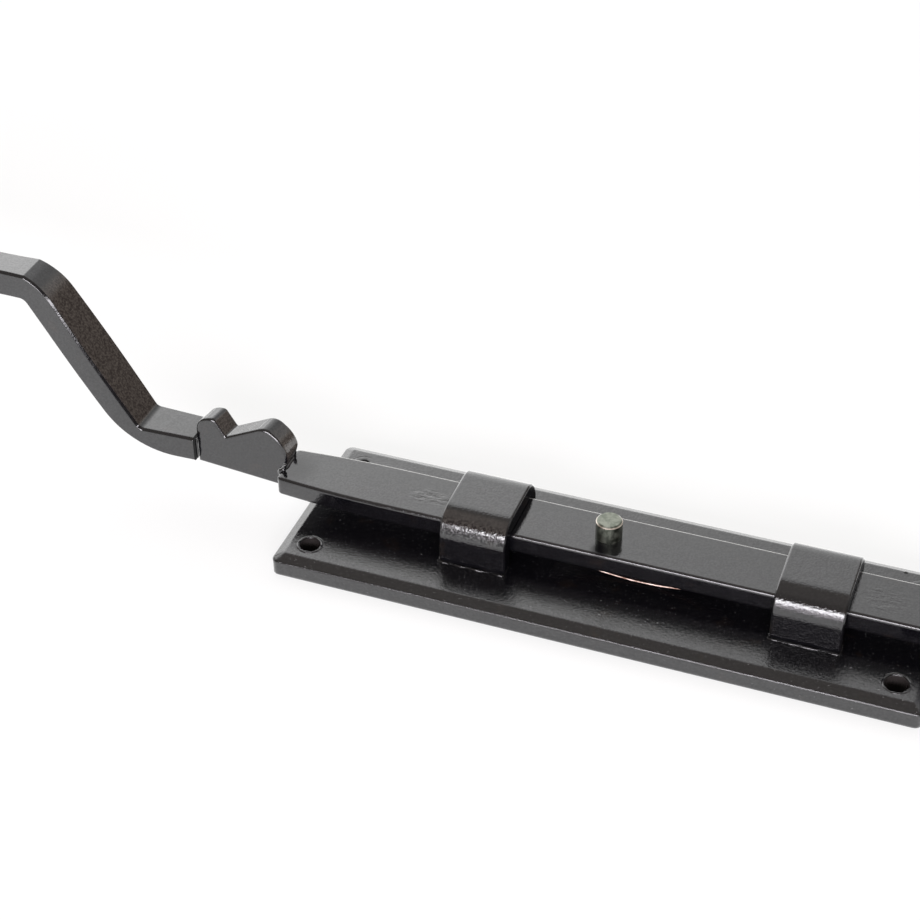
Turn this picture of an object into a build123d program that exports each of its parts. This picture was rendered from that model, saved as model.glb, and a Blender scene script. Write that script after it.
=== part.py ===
from build123d import *
import os

# A french door bolt: a flat bar slides through two staples on a bevelled back plate.
# A lobed thumb piece and a cranked handle are welded to the bar's near end.
# X runs along the bar towards its tip, Y across it and Z away from the door.
# The origin is the middle of the back plate's back face. Lengths are in millimetres.

# Back plate
plate_length = 123.0
plate_width = 38.0
plate_thickness = 4.0
plate_side = 3.0
bevel_width = 2.0
plate_corner = 1.5
arris_radius = 0.3
screw_hole = 4.4
screw_inset = 5.75
hole_chamfer = 0.2

# Bar, drawn where it stands part way out
bar_width = 12.0
bar_thickness = 4.0
bar_lift = 3.25
bar_near_end = -66.1
bar_tip = 76.2
bar_edge = 0.6
tip_corner = 0.6
near_corner = 1.0
near_width = 9.8
taper_length = 22.0

# Staples, each a bent strap with a riveted tenon on either leg
strap_thickness = 2.75
strap_width = 13.0
bar_clearance = 0.37
shoulder_outside = 5.0
shoulder_inside = 1.0
strap_edge = 0.3
near_staple_x = -24.7
tip_staple_x = 38.4
tenon_width = 9.0
rivet_flare = 0.6

# Stop pin between the staples
pin_x = -1.0
pin_diameter = 5.0
pin_height = 3.8
pin_rim = 0.4
pin_shank = 4.0

# Leaf spring, captured in a recess under the bar
spring_x = 6.0
spring_half = 18.0
spring_width = 5.5
spring_thickness = 0.5
spring_clearance = 0.1
recess_depth = 0.5
recess_margin = 0.4

# Lobed thumb piece: places along it are from the handle, heights from the door
thumb_thickness = 4.7
thumb_edge = 0.6
thumb_length = 17.9
thumb_foot = 8.8
small_lobe_height = 19.7
small_lobe_end = 4.1
small_lobe_round = 3.4
small_lobe_crest = 1.0
valley_at = 6.3
valley_height = 16.15
valley_round = 0.3
large_lobe_at = 14.8
large_lobe_height = 20.4
large_lobe_round = 2.6
brow_at = 18.1
brow_height = 17.6
brow_round = 6.0
nose_at = 19.45
nose_height = 14.2
nose_round = 4.0
nose_root = 18.55

# Cranked handle
handle_edge = 0.45
handle_bottom = 9.7
handle_top = 15.2
grip_bottom = 39.4
grip_top = 45.0
lower_bend_over = -95.3
lower_bend_under = -97.5
crease_over = -117.0
upper_bend_over = -113.0
upper_bend_height = 43.5
upper_bend_under = -117.7
bend_inside = 1.5
lower_bend_round = 18.0
upper_bend_round = 12.0
handle_far_end = -211.5
root_width = 7.7
crank_width = 9.2
grip_width = 6.7
pad_width = 11.0
crank_widest = -105.5
grip_from = -118.5
pad_length = 26.0
pad_shoulder = 4.0
plan_round = 100.0
shoulder_round = 30.0

# Heights and places that follow from them
bar_bottom = plate_thickness + bar_lift
bar_top = bar_bottom + bar_thickness
staple_inside = bar_width / 2 + bar_clearance
staple_outside = staple_inside + strap_thickness
staple_ceiling = bar_top + bar_clearance
staple_top = staple_ceiling + strap_thickness
tenon_y = staple_inside + strap_thickness / 2
thumb_near = bar_near_end - thumb_length
staple_places = {"handle_end_staple": near_staple_x, "tip_end_staple": tip_staple_x}

os.makedirs("parts", exist_ok=True)


def finish(piece, name):
    """Labels a finished piece and writes it to its own file."""
    piece.part.label = name
    export_step(piece.part, f"parts/{name}.step")


# Back plate: a slab with a bevelled top, four screw holes and four slots for the tenons
with BuildPart() as back_plate:
    with BuildSketch():
        RectangleRounded(plate_length, plate_width, plate_corner)
    extrude(amount=plate_side)
    with BuildSketch(Plane.XY.offset(plate_side)):
        RectangleRounded(plate_length, plate_width, plate_corner)
    with BuildSketch(Plane.XY.offset(plate_thickness)):
        flat_length = plate_length - 2 * bevel_width
        flat_width = plate_width - 2 * bevel_width
        RectangleRounded(flat_length, flat_width, plate_corner / 4)
    loft()
    fillet([edge for edge in back_plate.edges() if abs(edge.center().Z - plate_side) < 0.01], arris_radius)
    with Locations((0, 0, plate_thickness)):
        with GridLocations(plate_length - 2 * screw_inset, plate_width - 2 * screw_inset, 2, 2):
            Hole(screw_hole / 2)
    rims = back_plate.edges().filter_by(GeomType.CIRCLE).group_by(Axis.Z)[-1]
    chamfer([rim for rim in rims if abs(rim.radius - screw_hole / 2) < 0.01], hole_chamfer)
    slot_centres = [(x, y) for x in staple_places.values() for y in (-tenon_y, tenon_y)]
    with BuildSketch():
        with Locations(*slot_centres):
            Rectangle(tenon_width, strap_thickness)
    extrude(amount=plate_thickness, mode=Mode.SUBTRACT)
    with BuildSketch():
        with Locations(*slot_centres):
            Rectangle(tenon_width + 2 * rivet_flare, strap_thickness + 2 * rivet_flare)
    extrude(amount=rivet_flare, taper=45, mode=Mode.SUBTRACT)
finish(back_plate, "back_plate")


def bent_strap(x):
    """A strap bent over the bar at x, with a tenon under each leg that fills its slot in the plate."""
    with BuildPart() as strap:
        with BuildSketch(Plane.YZ.offset(x - strap_width / 2)):
            with BuildLine():
                FilletPolyline(
                    (-staple_outside, plate_thickness),
                    (-staple_outside, staple_top),
                    (staple_outside, staple_top),
                    (staple_outside, plate_thickness),
                    radius=shoulder_outside,
                )
                Line((staple_outside, plate_thickness), (staple_inside, plate_thickness))
                FilletPolyline(
                    (staple_inside, plate_thickness),
                    (staple_inside, staple_ceiling),
                    (-staple_inside, staple_ceiling),
                    (-staple_inside, plate_thickness),
                    radius=shoulder_inside,
                )
                Line((-staple_inside, plate_thickness), (-staple_outside, plate_thickness))
            make_face()
        extrude(amount=strap_width)
        ends = strap.faces().filter_by(Axis.X)
        outer_edges = [
            edge
            for end in ends
            for edge in end.edges()
            if edge.center().Z > plate_thickness + 0.1 and not inside_strap(edge)
        ]
        chamfer(outer_edges, strap_edge)
        with BuildSketch():
            with Locations((x, -tenon_y), (x, tenon_y)):
                Rectangle(tenon_width, strap_thickness)
        extrude(amount=plate_thickness)
        with BuildSketch():
            with Locations((x, -tenon_y), (x, tenon_y)):
                Rectangle(tenon_width + 2 * rivet_flare, strap_thickness + 2 * rivet_flare)
        extrude(amount=rivet_flare, taper=45)
    return strap


def inside_strap(edge):
    """True for an edge of the opening that the bar runs through."""
    middle = edge.center()
    return abs(middle.Y) < staple_inside + 0.6 and middle.Z < staple_ceiling + 0.1


for name, x in staple_places.items():
    finish(bent_strap(x), name)


# Bolt bar: a flat bar that narrows along an arc to its near end, with a recess under it
with BuildPart() as bolt_bar:
    taper_start = bar_near_end + taper_length
    with BuildSketch(Plane.XY.offset(bar_bottom)) as bar_plan:
        with BuildLine():
            full = Polyline(
                (taper_start, bar_width / 2),
                (bar_tip, bar_width / 2),
                (bar_tip, -bar_width / 2),
                (taper_start, -bar_width / 2),
            )
            near = Line((bar_near_end, -near_width / 2), (bar_near_end, near_width / 2))
            TangentArc(full @ 1, near @ 0, tangent=(-1, 0))
            TangentArc(full @ 0, near @ 1, tangent=(-1, 0))
        make_face()
        fillet(bar_plan.vertices().group_by(Axis.X)[-1], tip_corner)
        fillet(bar_plan.vertices().group_by(Axis.X)[0], near_corner)
    extrude(amount=bar_thickness)
    level_faces = bolt_bar.faces().filter_by(Axis.Z)
    fillet([edge for face in level_faces for edge in face.edges()], bar_edge)
    with BuildSketch(Plane.XY.offset(bar_bottom)):
        with Locations((spring_x, 0)):
            Rectangle(2 * (spring_half + recess_margin), spring_width + 2 * recess_margin)
    extrude(amount=recess_depth, mode=Mode.SUBTRACT)
    with BuildSketch(Plane.XY.offset(bar_bottom)):
        with Locations((pin_x, 0)):
            Circle(pin_shank / 2)
    extrude(amount=bar_thickness, mode=Mode.SUBTRACT)
finish(bolt_bar, "bolt_bar")


# Stop pin: a turned head on a shank that is riveted flush in the recess
with BuildPart() as stop_pin:
    with BuildSketch(Plane.XZ):
        with BuildLine():
            Polyline(
                (pin_x, bar_bottom + recess_depth),
                (pin_x + pin_shank / 2, bar_bottom + recess_depth),
                (pin_x + pin_shank / 2, bar_top),
                (pin_x + pin_diameter / 2, bar_top),
                (pin_x + pin_diameter / 2, bar_top + pin_height - pin_rim),
                (pin_x + pin_diameter / 2 - pin_rim, bar_top + pin_height),
                (pin_x, bar_top + pin_height),
                close=True,
            )
        make_face()
    revolve(axis=Axis((pin_x, 0, 0), (0, 0, 1)))
finish(stop_pin, "stop_pin")


# Leaf spring: a strip bowed down from the recess until its crown meets the plate
with BuildPart() as leaf_spring:
    crown = plate_thickness + spring_clearance
    spring_end = bar_bottom + recess_depth - spring_thickness - 0.02
    with BuildSketch(Plane.XZ.offset(-spring_width / 2)):
        with BuildLine():
            lower = ThreePointArc(
                (spring_x - spring_half, spring_end), (spring_x, crown), (spring_x + spring_half, spring_end)
            )
            upper = ThreePointArc(
                (spring_x - spring_half, spring_end + spring_thickness),
                (spring_x, crown + spring_thickness),
                (spring_x + spring_half, spring_end + spring_thickness),
            )
            Line(lower @ 0, upper @ 0)
            Line(lower @ 1, upper @ 1)
        make_face()
    extrude(amount=spring_width)
finish(leaf_spring, "leaf_spring")


# Thumb piece: a plate on edge with a small lobe, a valley and a large lobe that leans over the bar's end
with BuildPart() as thumb_piece:
    with BuildSketch(Plane.XZ.offset(-thumb_thickness / 2)):
        with BuildLine():
            crest = FilletPolyline(
                (thumb_near, thumb_foot),
                (thumb_near, small_lobe_height),
                (thumb_near + small_lobe_end, small_lobe_height),
                (thumb_near + valley_at, valley_height),
                (thumb_near + large_lobe_at, large_lobe_height),
                (thumb_near + brow_at, brow_height),
                (thumb_near + nose_at, nose_height),
                (thumb_near + nose_root, bar_top),
                radius=(
                    small_lobe_round,
                    small_lobe_crest,
                    valley_round,
                    large_lobe_round,
                    brow_round,
                    nose_round,
                ),
            )
            Polyline(crest @ 1, (bar_near_end, bar_top), (bar_near_end, bar_bottom), crest @ 0)
        make_face()
    extrude(amount=thumb_thickness)
    flat_sides = thumb_piece.faces().filter_by(Axis.Y)
    fillet([edge for side in flat_sides for edge in side.edges()], thumb_edge)
finish(thumb_piece, "thumb_piece")


# Handle: the side profile of a cranked bar, cut to the plan of a grip with a broad round end
with BuildPart() as handle:
    with BuildSketch(Plane.XZ.offset(-pad_width / 2)):
        with BuildLine():
            over = FilletPolyline(
                (thumb_near, handle_top),
                (lower_bend_over, handle_top),
                (upper_bend_over, upper_bend_height),
                (crease_over, grip_top),
                radius=(bend_inside, upper_bend_round),
            )
            under = FilletPolyline(
                (handle_far_end, grip_bottom),
                (upper_bend_under, grip_bottom),
                (lower_bend_under, handle_bottom),
                (thumb_near, handle_bottom),
                radius=(bend_inside, lower_bend_round),
            )
            Polyline(over @ 1, (handle_far_end, grip_top), under @ 0)
            Line(under @ 1, over @ 0)
        make_face()
    extrude(amount=pad_width)
    with BuildSketch(Plane.XY) as plan:
        with BuildLine():
            pad_round = handle_far_end + pad_width / 2
            back = FilletPolyline(
                (thumb_near, root_width / 2),
                (crank_widest, crank_width / 2),
                (grip_from, grip_width / 2),
                (handle_far_end + pad_length, grip_width / 2),
                (pad_round + pad_shoulder, pad_width / 2),
                (pad_round, pad_width / 2),
                radius=(plan_round, plan_round, plan_round, shoulder_round),
            )
            front = mirror(back, about=Plane.XZ)
            ThreePointArc(back @ 1, (handle_far_end, 0), (pad_round, -pad_width / 2))
            Line(back @ 0, (thumb_near, -root_width / 2))
        make_face()
    extrude(plan.sketch, amount=2 * grip_top, mode=Mode.INTERSECT)
    upright_faces = [face for face in handle.faces() if abs(face.normal_at().Z) < 0.01]
    rim = ShapeList(edge for face in upright_faces for edge in face.edges())
    long_edges = rim.filter_by(Axis.Z, reverse=True)
    chamfer(long_edges.filter_by_position(Axis.X, handle_far_end, thumb_near - handle_edge), handle_edge)
finish(handle, "handle")
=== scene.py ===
import math
import random

import bmesh
import bpy
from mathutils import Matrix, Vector


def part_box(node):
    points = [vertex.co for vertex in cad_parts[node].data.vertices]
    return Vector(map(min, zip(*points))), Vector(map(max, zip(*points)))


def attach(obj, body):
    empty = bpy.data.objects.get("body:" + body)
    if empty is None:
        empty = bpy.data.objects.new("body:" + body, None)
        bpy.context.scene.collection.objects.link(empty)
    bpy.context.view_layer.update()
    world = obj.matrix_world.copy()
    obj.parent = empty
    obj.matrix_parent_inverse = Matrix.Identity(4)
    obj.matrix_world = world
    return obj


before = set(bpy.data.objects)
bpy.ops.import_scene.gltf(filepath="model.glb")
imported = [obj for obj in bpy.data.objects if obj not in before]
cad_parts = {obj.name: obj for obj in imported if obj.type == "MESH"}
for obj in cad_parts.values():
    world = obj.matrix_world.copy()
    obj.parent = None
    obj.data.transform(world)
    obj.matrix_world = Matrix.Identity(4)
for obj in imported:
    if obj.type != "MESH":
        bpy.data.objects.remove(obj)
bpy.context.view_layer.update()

# A french door bolt in glossy black paint on a white studio floor.
# Lengths are in metres in the part's own frame. The bar runs along X, and the door side is at the bottom.

scene = bpy.context.scene
scene.view_settings.view_transform = "Standard"

# Camera, fitted to the photograph's edges
camera_place = (0.0771, -0.2839, 0.2545)
camera_turn_degrees = (52.4546, 0.4732, 20.3422)
camera_lens = 80.69

# The floor. It glows, at one level to the camera, and at others in mirror images near the part and far off.
floor_half = 4.0
floor_drop = 0.0003
floor_colour = (0.93, 0.93, 0.93, 1.0)
# Painted shade: under the back plate the floor is nearly black and barely glows
painted_shade_floor_colour = (0.03, 0.03, 0.03, 1.0)
floor_seen = 0.93
floor_mirrored_near = 1.85
floor_mirrored_far = 0.8 * floor_mirrored_near
floor_near, floor_far = 0.15, 0.5
floor_glow_share = 0.78
covered_floor_glow_share = 0.012
floor_cover_margin = 0.001
white = (1.0, 1.0, 1.0, 1.0)

# What the paint mirrors: how bright each part of the room is. The backdrop's level rises towards the left
# by the gain, as far as gain_ends. A share is what is left of it, or more than all of it, somewhere else.
backdrop_level = 1.61
backdrop_gain_to_left = 3.0
backdrop_gain_ends = 0.45
backdrop_share_at_right = 0.7
glare_gain = 0.42
low_backdrop_share = 1.15
middle_backdrop_share = 0.85
front_wall_level = 0.45
dim_corner_level = 0.3
ceiling_level = 0.64
dim_light_colour = (1.0, 0.91, 0.82, 1.0)

# The two softboxes in front stand one above the other, and are equally wide
softbox_x, softbox_y, softbox_width = 0.595, -1.9, 2.31

# Places on the part, from its packed boxes
plate_low, plate_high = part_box("back_plate")
bar_low, bar_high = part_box("bolt_bar")
thumb_low, thumb_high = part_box("thumb_piece")
pin_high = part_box("stop_pin")[1]
spring_low, spring_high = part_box("leaf_spring")
screw_inset = 0.00575
strap_thickness = 0.00275
handle_root_low, handle_root_high = 0.0095, 0.0147
spring_thickness = 0.0005
hole_wall_margin = 0.002

# The middle radius of the paint ridge round each near screw hole, and the ridge's half-width
left_ridge, right_ridge = (0.00227, 0.00034), (0.00248, 0.00026)
# The same of the paint that has run into each far one
left_run, right_run = (0.002, 0.0009), (0.0016, 0.0013)
# Half-widths of the other beads: at the staples' feet, round the bar's end, up the thumb piece, along a joint
foot_bead, corner_bead, climb_bead, joint_bead = 0.00016, 0.0007, 0.00042, 0.0004
pimple_x, pimple_y, pimple_half_width = 0.0517, 0.0168, 0.0004

# Gloss enamel bends light like this, so it mirrors about a twentieth of what it faces head-on
paint_ior = 1.6

# Colours of the paint and of what lies on it
paint_colour = (0.0026, 0.0025, 0.0033, 1.0)
thin_paint_colour = (0.0065, 0.0046, 0.004, 1.0)
# Mottled brown of the painted reflections: the warm room as mirrored by faces that look one way
dark_painted_reflection_colour = (0.019, 0.0155, 0.014, 1.0)
light_painted_reflection_colour = (0.055, 0.048, 0.042, 1.0)
dust_colour = (0.034, 0.034, 0.036, 1.0)
bright_dust_colour = (0.14, 0.14, 0.14, 1.0)
# Painted shade: the even brown-grey of the walls of the plate's holes
painted_hole_shade_colour = (0.022, 0.019, 0.0185, 1.0)
# Grey of the painted highlight along the bar's top edge on the +Y side
painted_edge_highlight_colour = (0.3, 0.295, 0.29, 1.0)

# Colours of the bare metals
dark_steel_colour = (0.1, 0.11, 0.09, 1.0)
light_steel_colour = (0.19, 0.20, 0.17, 1.0)
# Painted highlight: the lighter colour of the pin's slanted rim
painted_rim_highlight_colour = (0.46, 0.41, 0.36, 1.0)
# Leaf spring: painted shade, nearly black, and a mottled painted highlight along its front's lower edge
painted_shade_bronze_colour = (0.02, 0.013, 0.01, 1.0)
dim_highlight_bronze_colour = (0.1, 0.06, 0.045, 1.0)
bright_highlight_bronze_colour = (0.36, 0.285, 0.25, 1.0)

# A bead of paint or weld metal has this many sides, and its ends are this share of its width
bead_sides = 8
bead_end_taper = 0.35

# Directions
up = (0.0, 0.0, 1.0)
to_front = (0.0, -1.0, 0.0)
to_tip = (1.0, 0.0, 0.0)

# How far the paint's patterns lift its surface, and its gloss in the holes
forging_height = 0.00005
peel_height = 0.000015
hole_wall_gloss = 0.15


def wire(tree, source, target):
    """Joins an output socket to an input socket."""
    tree.links.new(source, target)


def new_material(name):
    """An empty node material and its output node."""
    material = bpy.data.materials.new(name)
    material.use_nodes = True
    tree = material.node_tree
    tree.nodes.clear()
    output = tree.nodes.new("ShaderNodeOutputMaterial")
    return material, tree, output


def number(tree, operation, a, b=None, c=None):
    """One Math node. Each operand is a number or an output socket."""
    node = tree.nodes.new("ShaderNodeMath")
    node.operation = operation
    for socket, value in zip(node.inputs, (a, b, c)):
        if isinstance(value, (int, float)):
            socket.default_value = value
        elif value is not None:
            wire(tree, value, socket)
    return node.outputs[0]


def product(tree, a, b):
    """Two values multiplied."""
    return number(tree, "MULTIPLY", a, b)


def ramp(tree, value, low, high, to_low=0.0, to_high=1.0):
    """Moves smoothly from to_low to to_high while value goes from low to high."""
    node = tree.nodes.new("ShaderNodeMapRange")
    node.interpolation_type = "SMOOTHSTEP"
    wire(tree, value, node.inputs["Value"])
    node.inputs["From Min"].default_value = low
    node.inputs["From Max"].default_value = high
    node.inputs["To Min"].default_value = to_low
    node.inputs["To Max"].default_value = to_high
    return node.outputs["Result"]


def mix_colour(tree, factor, a, b):
    """Blends two colours, each four numbers or an output socket."""
    node = tree.nodes.new("ShaderNodeMix")
    node.data_type = "RGBA"
    wire(tree, factor, node.inputs["Factor"])
    for socket, value in ((node.inputs[6], a), (node.inputs[7], b)):
        if isinstance(value, tuple):
            socket.default_value = value
        else:
            wire(tree, value, socket)
    return node.outputs[2]


def mix_number(tree, factor, a, b):
    """Blends two numbers, each a value or an output socket."""
    node = tree.nodes.new("ShaderNodeMix")
    node.data_type = "FLOAT"
    wire(tree, factor, node.inputs["Factor"])
    for socket, value in ((node.inputs[2], a), (node.inputs[3], b)):
        if isinstance(value, (int, float)):
            socket.default_value = value
        else:
            wire(tree, value, socket)
    return node.outputs[0]


def noise(tree, place, scale, detail=2.0, roughness=0.5, stretch=(1.0, 1.0, 1.0)):
    """Noise over the object's own coordinates. A feature is about 1 / scale metres across."""
    mapping = tree.nodes.new("ShaderNodeMapping")
    mapping.inputs["Scale"].default_value = stretch
    wire(tree, place, mapping.inputs["Vector"])
    node = tree.nodes.new("ShaderNodeTexNoise")
    node.inputs["Scale"].default_value = scale
    node.inputs["Detail"].default_value = detail
    node.inputs["Roughness"].default_value = roughness
    wire(tree, mapping.outputs["Vector"], node.inputs["Vector"])
    return node.outputs["Fac"]


def bump(tree, height, distance, normal=None):
    """Raises the surface by height times distance, over the bumps that normal already has."""
    node = tree.nodes.new("ShaderNodeBump")
    node.inputs["Strength"].default_value = 1.0
    node.inputs["Distance"].default_value = distance
    wire(tree, height, node.inputs["Height"])
    if normal is not None:
        wire(tree, normal, node.inputs["Normal"])
    return node.outputs["Normal"]


def patch(tree, place, centre, reach):
    """One at centre, fading to zero at reach from it, with a reach along each axis."""
    shift = tree.nodes.new("ShaderNodeMapping")
    shift.vector_type = "TEXTURE"
    shift.inputs["Location"].default_value = centre
    shift.inputs["Scale"].default_value = reach
    wire(tree, place, shift.inputs["Vector"])
    length = tree.nodes.new("ShaderNodeVectorMath")
    length.operation = "LENGTH"
    wire(tree, shift.outputs["Vector"], length.inputs[0])
    return ramp(tree, length.outputs["Value"], 1.0, 0.3)


def turned_to(tree, direction, low, high, to_low=0.0, to_high=1.0):
    """to_high where the surface faces a direction, fading to to_low where it turns away."""
    dot = tree.nodes.new("ShaderNodeVectorMath")
    dot.operation = "DOT_PRODUCT"
    wire(tree, tree.nodes.new("ShaderNodeTexCoord").outputs["Normal"], dot.inputs[0])
    dot.inputs[1].default_value = direction
    return ramp(tree, dot.outputs["Value"], low, high, to_low, to_high)


def inside_plate(tree, margin):
    """One within the back plate's outline less a margin, and zero outside it."""
    split = tree.nodes.new("ShaderNodeSeparateXYZ")
    wire(tree, tree.nodes.new("ShaderNodeTexCoord").outputs["Object"], split.inputs["Vector"])
    inside = [
        number(tree, "LESS_THAN", number(tree, "ABSOLUTE", split.outputs[axis]), plate_high[axis] - margin)
        for axis in (0, 1)
    ]
    return product(tree, *inside)


def black_paint(
    name,
    edge_round,
    grain_height=0.00002,
    roughness_range=(0.06, 0.13),
    painted_reflections=(),
    scuffs=(),
    dull=(),
    painted_far_edge_highlight=False,
    dust_and_painted_hole_shade=False,
    glitter=None,
    muted=(),
    end_gloss=1.0,
):
    """Gloss enamel brushed over forged steel: rippled and grainy, browner where it is thin.

    edge_round softens the shading over the edges by that radius. Each entry of rust is a painted
    reflection, a mottled brown: a direction, how closely a face that shows it must look that way, and its
    share of the colour there. Each scuff is a centre, a reach and a depth, and each dull patch a centre, a
    reach and a gloss. painted_far_edge_highlight greys the top edge on the +Y side, a painted highlight. dusty
    adds specks of dust, and gives the walls of the plate's holes an even brown-grey, as painted shade. glitter
    is a
    direction: faces that look that way sparkle. Each muted is a direction and the gloss of the faces that
    look that way. end_gloss is the share of their gloss that faces towards +X keep.
    """
    material, tree, output = new_material(name)
    place = tree.nodes.new("ShaderNodeTexCoord").outputs["Object"]
    forging = noise(tree, place, 110.0)
    peel = noise(tree, place, 640.0)
    grain = noise(tree, place, 2600.0, detail=3.0)
    scratches = noise(tree, place, 900.0, detail=4.0, roughness=0.7, stretch=(0.35, 1.0, 1.0))
    specks = noise(tree, place, 2100.0, detail=4.0, roughness=0.75)
    thin = ramp(tree, noise(tree, place, 210.0, detail=4.0, roughness=0.6), 0.58, 0.74)
    colour = mix_colour(tree, thin, paint_colour, thin_paint_colour)
    # Painted reflections: faces that look one way take on a mottled brown, for the warm room they mirror
    for direction, low, high, share in painted_reflections:
        mottle = mix_colour(tree, ramp(tree, specks, 0.36, 0.66), dark_painted_reflection_colour, light_painted_reflection_colour)
        colour = mix_colour(tree, turned_to(tree, direction, low, high, 0.0, share), colour, mottle)
    if dust_and_painted_hole_shade:
        colour = mix_colour(tree, ramp(tree, specks, 0.59, 0.74), colour, dust_colour)
        colour = mix_colour(tree, ramp(tree, specks, 0.66, 0.72), colour, bright_dust_colour)
        # Painted shade: the upright walls inside the plate's holes take an even brown-grey
        upright = number(tree, "SUBTRACT", 1.0, turned_to(tree, up, 0.1, 0.3))
        walls = product(tree, upright, inside_plate(tree, hole_wall_margin))
        colour = mix_colour(tree, walls, colour, painted_hole_shade_colour)
    rounded = tree.nodes.new("ShaderNodeBevel")
    rounded.samples = 8
    rounded.inputs["Radius"].default_value = edge_round
    normal = bump(tree, forging, forging_height, rounded.outputs["Normal"])
    for centre, reach, depth in scuffs:
        level_scratches = number(tree, "SUBTRACT", scratches, 0.5)
        marks = product(tree, patch(tree, place, centre, reach), level_scratches)
        normal = bump(tree, marks, depth, normal)
    normal = bump(tree, peel, peel_height, normal)
    normal = bump(tree, grain, grain_height, normal)
    # Painted highlight: the rounded top edge that leans towards +Y is greyed, broken up by specks
    if painted_far_edge_highlight:
        lean = tree.nodes.new("ShaderNodeSeparateXYZ")
        wire(tree, rounded.outputs["Normal"], lean.inputs["Vector"])
        on_edge = product(
            tree, ramp(tree, lean.outputs["Y"], 0.06, 0.3), ramp(tree, lean.outputs["Z"], 0.6, 0.75)
        )
        painted_highlight_mix = product(tree, on_edge, ramp(tree, specks, 0.3, 0.5, 0.6, 1.0))
        colour = mix_colour(tree, painted_highlight_mix, colour, painted_edge_highlight_colour)
    roughness = ramp(tree, peel, 0.3, 0.7, *roughness_range)
    gloss = ramp(tree, grain, 0.3, 0.7, 0.44, 0.56)
    gloss = product(tree, gloss, turned_to(tree, to_tip, 0.6, 0.9, 1.0, end_gloss))
    if dust_and_painted_hole_shade:
        gloss = mix_number(tree, walls, gloss, hole_wall_gloss)
    for centre, reach, level in dull:
        gloss = mix_number(tree, patch(tree, place, centre, reach), gloss, level)
    if glitter:
        sparkle = ramp(tree, specks, 0.4, 0.62, 0.2, 0.85)
        gloss = mix_number(tree, turned_to(tree, glitter, 0.9, 0.97), gloss, sparkle)
    for direction, level in muted:
        gloss = mix_number(tree, turned_to(tree, direction, 0.9, 0.97), gloss, level)
    shader = tree.nodes.new("ShaderNodeBsdfPrincipled")
    shader.inputs["IOR"].default_value = paint_ior
    wire(tree, colour, shader.inputs["Base Color"])
    wire(tree, roughness, shader.inputs["Roughness"])
    wire(tree, gloss, shader.inputs["Specular IOR Level"])
    wire(tree, normal, shader.inputs["Normal"])
    wire(tree, shader.outputs["BSDF"], output.inputs["Surface"])
    return material


def bare_steel():
    """Turned steel, tarnished to a greenish grey, with fine rings down its side and a rim painted lighter as a
    highlight.
    """
    material, tree, output = new_material("tarnished_turned_steel")
    place = tree.nodes.new("ShaderNodeTexCoord").outputs["Object"]
    tarnish = ramp(tree, noise(tree, place, 900.0, detail=4.0, roughness=0.65), 0.35, 0.65)
    turning = noise(tree, place, 1500.0, detail=2.0, stretch=(1.0, 1.0, 12.0))
    colour = mix_colour(tree, tarnish, dark_steel_colour, light_steel_colour)
    split = tree.nodes.new("ShaderNodeSeparateXYZ")
    wire(tree, place, split.inputs["Vector"])
    # Painted highlight: the slanted rim round the top is lighter
    slanted = product(tree, turned_to(tree, up, 0.2, 0.4), turned_to(tree, up, 0.95, 0.8))
    below_top = ramp(tree, split.outputs["Z"], pin_high.z - 0.0002, pin_high.z - 0.0003)
    colour = mix_colour(tree, product(tree, slanted, below_top), colour, painted_rim_highlight_colour)
    shader = tree.nodes.new("ShaderNodeBsdfPrincipled")
    shader.inputs["Metallic"].default_value = 1.0
    wire(tree, colour, shader.inputs["Base Color"])
    wire(tree, ramp(tree, tarnish, 0.0, 1.0, 0.3, 0.45), shader.inputs["Roughness"])
    wire(tree, bump(tree, turning, 0.000006), shader.inputs["Normal"])
    wire(tree, shader.outputs["BSDF"], output.inputs["Surface"])
    return material


def bronze_strip():
    """Rolled bronze, with a painted highlight along the lower edge of its front and painted shade, nearly
    black, elsewhere.
    """
    material, tree, output = new_material("rolled_bronze")
    place = tree.nodes.new("ShaderNodeTexCoord").outputs["Object"]
    lines = noise(tree, place, 2500.0, detail=2.0, stretch=(0.05, 1.0, 1.0))
    painted_highlight_mix = ramp(tree, noise(tree, place, 420.0, detail=4.0, roughness=0.7), 0.38, 0.62)
    bright = mix_colour(tree, painted_highlight_mix, dim_highlight_bronze_colour, bright_highlight_bronze_colour)
    split = tree.nodes.new("ShaderNodeSeparateXYZ")
    wire(tree, place, split.inputs["Vector"])
    middle = (spring_low.x + spring_high.x) / 2
    half = (spring_high.x - spring_low.x) / 2
    bow = spring_high.z - spring_low.z - spring_thickness
    from_middle = number(tree, "SUBTRACT", split.outputs["X"], middle)
    squared = product(tree, from_middle, from_middle)
    underside = number(tree, "MULTIPLY_ADD", squared, bow / half**2, spring_low.z)
    arris = ramp(tree, number(tree, "SUBTRACT", split.outputs["Z"], underside), 0.0003, 0.00016)
    # Painted highlight on the lower edge of the front; the rest is painted shade
    edge = product(tree, turned_to(tree, to_front, 0.5, 0.8), arris)
    colour = mix_colour(tree, edge, painted_shade_bronze_colour, bright)
    rolled_edge = tree.nodes.new("ShaderNodeCombineXYZ")
    for axis, value in zip("XYZ", (0.0, -0.89, 0.45)):
        rolled_edge.inputs[axis].default_value = value
    plain = tree.nodes.new("ShaderNodeNewGeometry").outputs["Normal"]
    normal = mix_colour(tree, edge, plain, rolled_edge.outputs["Vector"])
    shader = tree.nodes.new("ShaderNodeBsdfPrincipled")
    shader.inputs["Metallic"].default_value = 1.0
    shader.inputs["Roughness"].default_value = 0.3
    wire(tree, colour, shader.inputs["Base Color"])
    wire(tree, bump(tree, lines, 0.000003, normal), shader.inputs["Normal"])
    wire(tree, shader.outputs["BSDF"], output.inputs["Surface"])
    return material


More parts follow.
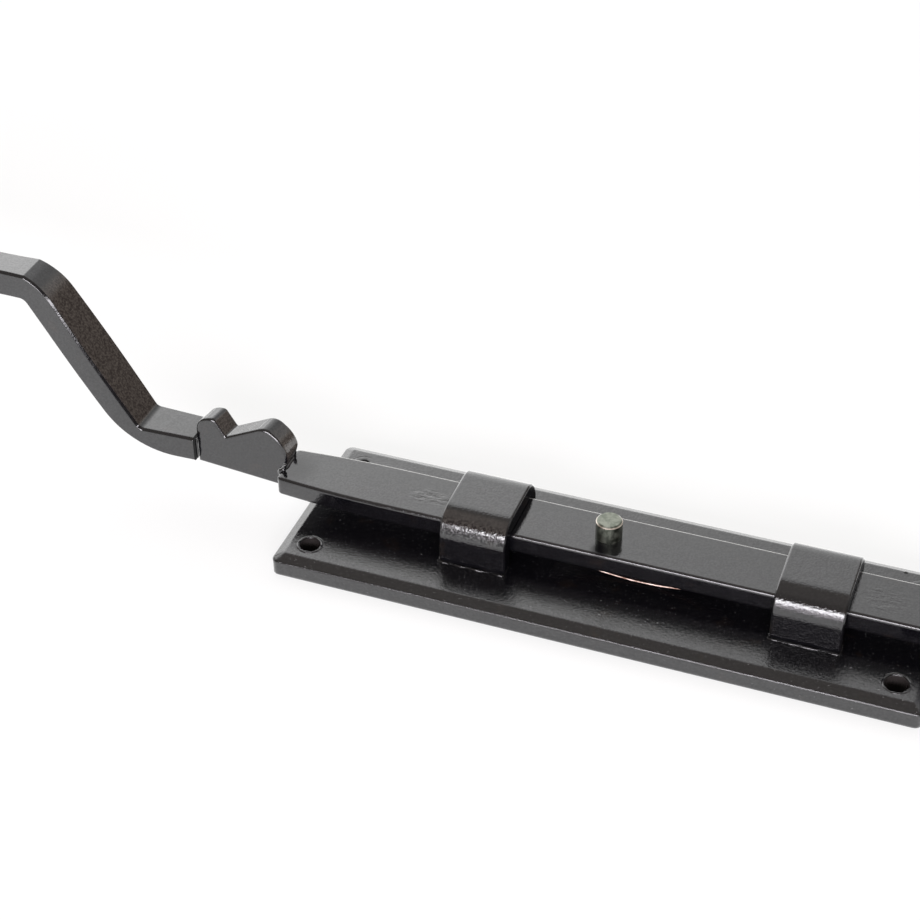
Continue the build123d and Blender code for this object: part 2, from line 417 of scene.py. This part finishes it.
# Scuffs in the bar's top, one before the handle-end staple and one past the other
bar_scuffs = (
    ((-0.0358, -0.0004, bar_high.z), (0.006, 0.0032, 0.002), 0.00036),
    ((0.0505, -0.0004, bar_high.z), (0.0068, 0.0056, 0.002), 0.00016),
)
# Duller paint on the bar's top, beside the welds and before the pin
bar_dull = (
    ((-0.065, -0.0012, bar_high.z), (0.0075, 0.0065, 0.003), 0.38),
    ((-0.0011, -0.0044, bar_high.z), (0.0026, 0.0026, 0.003), 0.1),
)
smooth_paint = black_paint("black_gloss_paint", 0.0003)
# Each rust entry below is a painted reflection, a mottled brown on faces that look one way
finishes = {
    "back_plate": black_paint(
        "black_gloss_paint_on_the_plate",
        0.0006,
        grain_height=0.00006,
        dust_and_painted_hole_shade=True,
        muted=(((-0.707, 0.0, 0.707), 0.42),),
    ),
    "handle_end_staple": black_paint(
        "black_gloss_paint_on_the_handle_end_staple",
        0.0003,
        grain_height=0.00004,
        roughness_range=(0.03, 0.08),
        painted_reflections=(((0.0, -0.616, 0.788), 0.93, 0.98, 0.35),),
        glitter=(0.0, -0.85, 0.53),
        end_gloss=0.01,
    ),
    "tip_end_staple": black_paint(
        "black_gloss_paint_on_the_tip_end_staple",
        0.0003,
        grain_height=0.00005,
        roughness_range=(0.05, 0.1),
        end_gloss=0.01,
    ),
    "bolt_bar": black_paint(
        "black_gloss_paint_on_the_bar", 0.0004, scuffs=bar_scuffs, dull=bar_dull, painted_far_edge_highlight=True
    ),
    "thumb_piece": black_paint(
        "black_gloss_paint_on_the_thumb_piece", 0.0003, painted_reflections=(((0.97, 0.0, 0.24), 0.7, 1.02, 1.0),)
    ),
    "handle": black_paint(
        "black_gloss_paint_on_the_handle",
        0.00028,
        grain_height=0.00001,
        painted_reflections=(((0.84, 0.0, 0.54), 0.93, 0.99, 1.0),),
        muted=(((0.59, -0.71, 0.38), 0.25),),
        end_gloss=0.02,
    ),
    "stop_pin": bare_steel(),
    "leaf_spring": bronze_strip(),
}
for node_name, finish in finishes.items():
    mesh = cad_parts[node_name].data
    mesh.materials.clear()
    mesh.materials.append(finish)


def add_piece(name, form, body, finish):
    """Makes a smooth painted piece of a bmesh, riding on a body."""
    mesh = bpy.data.meshes.new(name)
    bmesh.ops.recalc_face_normals(form, faces=form.faces)
    form.to_mesh(mesh)
    form.free()
    mesh.shade_smooth()
    mesh.materials.append(finish)
    piece = bpy.data.objects.new(name, mesh)
    scene.collection.objects.link(piece)
    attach(piece, body)
    return piece


def bead(form, points, radius, seed, unevenness, closed=False, height=1.0):
    """Adds a lumpy tube of paint or weld metal along the points. Its height is a share of its width."""
    chance = random.Random(seed)
    count = len(points)
    rings = []
    for index, point in enumerate(points):
        ahead = points[(index + 1) % count] if closed or index < count - 1 else point
        behind = points[index - 1] if closed or index > 0 else point
        across = (Vector(ahead) - Vector(behind)).to_track_quat("X", "Z").to_matrix()
        taper = 1.0 if closed or 0 < index < count - 1 else bead_end_taper
        swell = radius * taper * (1.0 + unevenness * (2.0 * chance.random() - 1.0))
        ring = []
        for step in range(bead_sides):
            turn = 2.0 * math.pi * step / bead_sides
            offset = across @ Vector((0.0, math.cos(turn), math.sin(turn))) * swell
            offset.z *= height
            ring.append(form.verts.new(Vector(point) + offset))
        rings.append(ring)
    pairs = list(zip(rings, rings[1:])) + ([(rings[-1], rings[0])] if closed else [])
    for first, second in pairs:
        for step in range(bead_sides):
            after = (step + 1) % bead_sides
            form.faces.new((first[step], first[after], second[after], second[step]))
    if not closed:
        form.faces.new(rings[0][::-1])
        form.faces.new(rings[-1])


def along(start, end, count):
    """Evenly spaced points from start to end."""
    return [Vector(start).lerp(Vector(end), step / (count - 1)) for step in range(count)]


def round_hole(x, y, radius, turns, depth):
    """Points at these turns round a screw hole's middle, a little under the plate's face."""
    z = plate_high.z - depth
    return [(x + radius * math.cos(turn), y + radius * math.sin(turn), z) for turn in turns]


def hole_rims():
    """Ridges that the brush leaves round the near two screw holes, and paint that has run into the far two."""
    form = bmesh.new()
    all_round = [2.0 * math.pi * step / 40 for step in range(40)]
    far_side = [math.radians(-20.0 + 10.0 * step) for step in range(25)]
    for x in (plate_low.x + screw_inset, plate_high.x - screw_inset):
        for y in (plate_low.y + screw_inset, plate_high.y - screw_inset):
            if y < 0.0:
                radius, half_width = left_ridge if x < 0.0 else right_ridge
                ring = round_hole(x, y, radius, all_round, 0.00005)
                seed = round(1000 * (x + y))
                bead(form, ring, half_width, seed=seed, unevenness=0.3, closed=True, height=0.6)
            else:
                radius, half_width = left_run if x < 0.0 else right_run
                run = round_hole(x, y, radius, far_side, 0.00006)
                bead(form, run, half_width, seed=7, unevenness=0.1, height=0.08)
    add_piece("paint_rims_at_screw_holes", form, "plate", smooth_paint)


def staple_feet():
    """Paint gathered in the corner where each staple's leg meets the plate."""
    form = bmesh.new()
    for seed, name in enumerate(("handle_end_staple", "tip_end_staple")):
        low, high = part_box(name)
        foot = plate_high.z + 0.00008
        for side, outer in ((-1, low.y), (1, high.y)):
            inner = outer - side * strap_thickness
            corners = [(low.x, inner), (low.x, outer), (high.x, outer), (high.x, inner)]
            points = []
            for (x0, y0), (x1, y1) in zip(corners, corners[1:] + corners[:1]):
                points += along((x0, y0, foot), (x1, y1, foot), 12)[:-1]
            bead(form, points, foot_bead, seed=seed * 2 + side, unevenness=0.85, closed=True)
    add_piece("paint_at_staple_feet", form, "plate", smooth_paint)


def welds():
    """Weld metal, painted over, where the thumb piece meets the bar's end and the handle."""
    form = bmesh.new()
    front, back = thumb_low.y, thumb_high.y
    outer, root = bar_low.x - 0.0001, bar_low.x + 0.0006
    for side, y in ((-1, front), (1, back)):
        foot = (outer - 0.0002, y, bar_high.z - 0.0012)
        corner = (outer, y + 0.0002 * side, bar_high.z)
        inner = (root + 0.0003, y, bar_high.z + 0.0004)
        corner_path = along(foot, corner, 4) + along(corner, inner, 4)[1:]
        bead(form, corner_path, corner_bead, seed=side + 5, unevenness=0.35)
        climb = along((root, y, bar_high.z + 0.0003), (root + 0.0003, y, bar_high.z + 0.0018), 5)
        bead(form, climb, climb_bead, seed=side + 9, unevenness=0.35)
        joint = along((thumb_low.x, y, handle_root_low), (thumb_low.x, y, handle_root_high), 7)
        bead(form, joint, joint_bead, seed=side + 8, unevenness=0.3)
    across = along((root, front, bar_high.z), (root, back, bar_high.z), 7)
    bead(form, across, joint_bead, seed=11, unevenness=0.45)
    piece = add_piece("painted_welds", form, "bolt", smooth_paint)
    piece.modifiers.new("smooth", "SUBSURF").render_levels = 2


def paint_pimple():
    """A drip that dried as a pimple near the plate's far edge."""
    form = bmesh.new()
    x, y, z = pimple_x, pimple_y, plate_high.z
    ridge = [(x - 0.0005, y, z), (x - 0.0001, y, z + 0.00005), (x + 0.0005, y, z)]
    bead(form, ridge, pimple_half_width, seed=3, unevenness=0.25, height=0.45)
    piece = add_piece("paint_pimple", form, "plate", smooth_paint)
    piece.modifiers.new("smooth", "SUBSURF").render_levels = 2


def lean_lobes(share, from_height, to_height):
    """Leans the thumb piece's hand-filed lobes: their far side stands nearer the tip.

    It does so by a share of the depth, fully above to_height and not at all below from_height.
    """
    group = bpy.data.node_groups.new("lean_of_the_lobes", "GeometryNodeTree")
    group.interface.new_socket("Geometry", in_out="INPUT", socket_type="NodeSocketGeometry")
    group.interface.new_socket("Geometry", in_out="OUTPUT", socket_type="NodeSocketGeometry")
    start, end = group.nodes.new("NodeGroupInput"), group.nodes.new("NodeGroupOutput")
    place = group.nodes.new("GeometryNodeInputPosition")
    split, join = group.nodes.new("ShaderNodeSeparateXYZ"), group.nodes.new("ShaderNodeCombineXYZ")
    move = group.nodes.new("GeometryNodeSetPosition")
    wire(group, place.outputs["Position"], split.inputs["Vector"])
    lean = product(group, ramp(group, split.outputs["Z"], from_height, to_height), share)
    depth = number(group, "SUBTRACT", split.outputs["Y"], thumb_low.y)
    wire(group, product(group, depth, lean), join.inputs["X"])
    wire(group, start.outputs["Geometry"], move.inputs["Geometry"])
    wire(group, join.outputs["Vector"], move.inputs["Offset"])
    wire(group, move.outputs["Geometry"], end.inputs["Geometry"])
    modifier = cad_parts["thumb_piece"].modifiers.new("lean", "NODES")
    modifier.node_group = group


# The photograph shows no image of the thumb piece in the bar beside it
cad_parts["thumb_piece"].visible_glossy = False

hole_rims()
staple_feet()
welds()
paint_pimple()
lean_lobes(share=0.16, from_height=0.0122, to_height=0.016)


def seen_or_mirrored(tree):
    """One for rays from the camera, from gloss and through glass, and zero for the rest."""
    path = tree.nodes.new("ShaderNodeLightPath")
    seen = number(tree, "MAXIMUM", path.outputs["Is Camera Ray"], path.outputs["Is Glossy Ray"])
    return number(tree, "MAXIMUM", seen, path.outputs["Is Transmission Ray"])


def studio_floor():
    """A white sweep that shows a faint shadow, painted dark as painted shade under the back plate."""
    material, tree, output = new_material("white_sweep")
    covered = inside_plate(tree, floor_cover_margin)
    diffuse = tree.nodes.new("ShaderNodeBsdfDiffuse")
    # Painted shade: the floor under the back plate is nearly black
    wire(tree, mix_colour(tree, covered, floor_colour, painted_shade_floor_colour), diffuse.inputs["Color"])
    mirrored = tree.nodes.new("ShaderNodeLightPath").outputs["Is Glossy Ray"]
    glow = tree.nodes.new("ShaderNodeEmission")
    glow.inputs["Color"].default_value = white
    length = tree.nodes.new("ShaderNodeVectorMath")
    length.operation = "LENGTH"
    wire(tree, tree.nodes.new("ShaderNodeTexCoord").outputs["Object"], length.inputs[0])
    image = ramp(
        tree, length.outputs["Value"], floor_near, floor_far, floor_mirrored_near, floor_mirrored_far
    )
    wire(tree, mix_number(tree, mirrored, floor_seen, image), glow.inputs["Strength"])
    blend = tree.nodes.new("ShaderNodeMixShader")
    share = mix_number(tree, covered, floor_glow_share, covered_floor_glow_share)
    wire(tree, product(tree, seen_or_mirrored(tree), share), blend.inputs["Fac"])
    wire(tree, diffuse.outputs["BSDF"], blend.inputs[1])
    wire(tree, glow.outputs["Emission"], blend.inputs[2])
    wire(tree, blend.outputs["Shader"], output.inputs["Surface"])
    signs = ((-1, -1), (1, -1), (1, 1), (-1, 1))
    corners = [(x * floor_half, y * floor_half, -floor_drop) for x, y in signs]
    mesh = bpy.data.meshes.new("floor")
    mesh.from_pydata(corners, [], [(0, 1, 2, 3)])
    mesh.materials.append(material)
    floor = bpy.data.objects.new("floor", mesh)
    scene.collection.objects.link(floor)


def studio_world():
    """White to the camera. To the paint, a bright backdrop behind and dimmer parts round it.

    These are the wall in front, the corner at the right and the ceiling. The backdrop is brightest at the
    left, where a band of glare crosses it.
    """
    world = bpy.data.worlds.new("studio")
    scene.world = world
    world.use_nodes = True
    tree = world.node_tree
    tree.nodes.clear()
    output = tree.nodes.new("ShaderNodeOutputWorld")
    split = tree.nodes.new("ShaderNodeSeparateXYZ")
    wire(tree, tree.nodes.new("ShaderNodeTexCoord").outputs["Generated"], split.inputs["Vector"])
    x, y, z = split.outputs
    left = product(tree, x, -1.0)
    leftness = number(tree, "MINIMUM", number(tree, "MAXIMUM", left, 0.0), backdrop_gain_ends)
    backdrop = number(tree, "MULTIPLY_ADD", leftness, backdrop_gain_to_left, backdrop_level)
    band = product(tree, ramp(tree, z, 0.35, 0.45), ramp(tree, z, 0.58, 0.53))
    glare = product(tree, band, ramp(tree, left, 0.38, 0.47))
    backdrop = product(tree, backdrop, number(tree, "MULTIPLY_ADD", glare, glare_gain, 1.0))
    backdrop = product(tree, backdrop, ramp(tree, x, 0.02, 0.26, 1.0, backdrop_share_at_right))
    low = ramp(tree, z, 0.04, 0.11, low_backdrop_share, middle_backdrop_share)
    backdrop = product(tree, backdrop, mix_number(tree, ramp(tree, z, 0.2, 0.35), low, 1.0))
    wall = mix_number(tree, ramp(tree, y, -0.05, 0.25), front_wall_level, backdrop)
    corner = product(tree, ramp(tree, x, 0.2, 0.5), ramp(tree, z, 0.45, 0.15))
    wall = mix_number(tree, corner, wall, dim_corner_level)
    level = mix_number(tree, ramp(tree, z, 0.78, 0.9), wall, ceiling_level)
    tint = mix_colour(tree, ramp(tree, level, 0.4, 1.3), dim_light_colour, white)
    room = tree.nodes.new("ShaderNodeBackground")
    wire(tree, tint, room.inputs["Color"])
    wire(tree, level, room.inputs["Strength"])
    plain = tree.nodes.new("ShaderNodeBackground")
    plain.inputs["Color"].default_value = white
    plain.inputs["Strength"].default_value = 1.0
    blend = tree.nodes.new("ShaderNodeMixShader")
    wire(tree, tree.nodes.new("ShaderNodeLightPath").outputs["Is Camera Ray"], blend.inputs["Fac"])
    wire(tree, room.outputs["Background"], blend.inputs[1])
    wire(tree, plain.outputs["Background"], blend.inputs[2])
    wire(tree, blend.outputs["Shader"], output.inputs["Surface"])


def softbox(name, height, tall, level, colour):
    """A soft upright panel in front of the part, this high up and this tall, that the camera doesn't see.

    Level is how bright it looks.
    """
    lamp = bpy.data.lights.new(name, "AREA")
    lamp.shape = "RECTANGLE"
    lamp.size, lamp.size_y = softbox_width, tall
    lamp.energy = math.pi * softbox_width * tall * level
    lamp.color = colour
    holder = bpy.data.objects.new(name, lamp)
    holder.location = (softbox_x, softbox_y, height)
    holder.rotation_euler = (math.radians(90.0), 0.0, 0.0)
    holder.visible_camera = False
    scene.collection.objects.link(holder)


def make_camera():
    """The photograph's camera."""
    data = bpy.data.cameras.new("camera")
    data.lens = camera_lens
    data.clip_start = 0.01
    holder = bpy.data.objects.new("camera", data)
    holder.location = camera_place
    holder.rotation_euler = [math.radians(angle) for angle in camera_turn_degrees]
    scene.collection.objects.link(holder)
    scene.camera = holder


studio_floor()
studio_world()
softbox("front_softbox", height=0.86, tall=0.48, level=24.0, colour=(1.0, 0.97, 1.02))
softbox("front_low_softbox", height=0.25, tall=0.38, level=5.0, colour=(1.0, 0.95, 1.03))
make_camera()
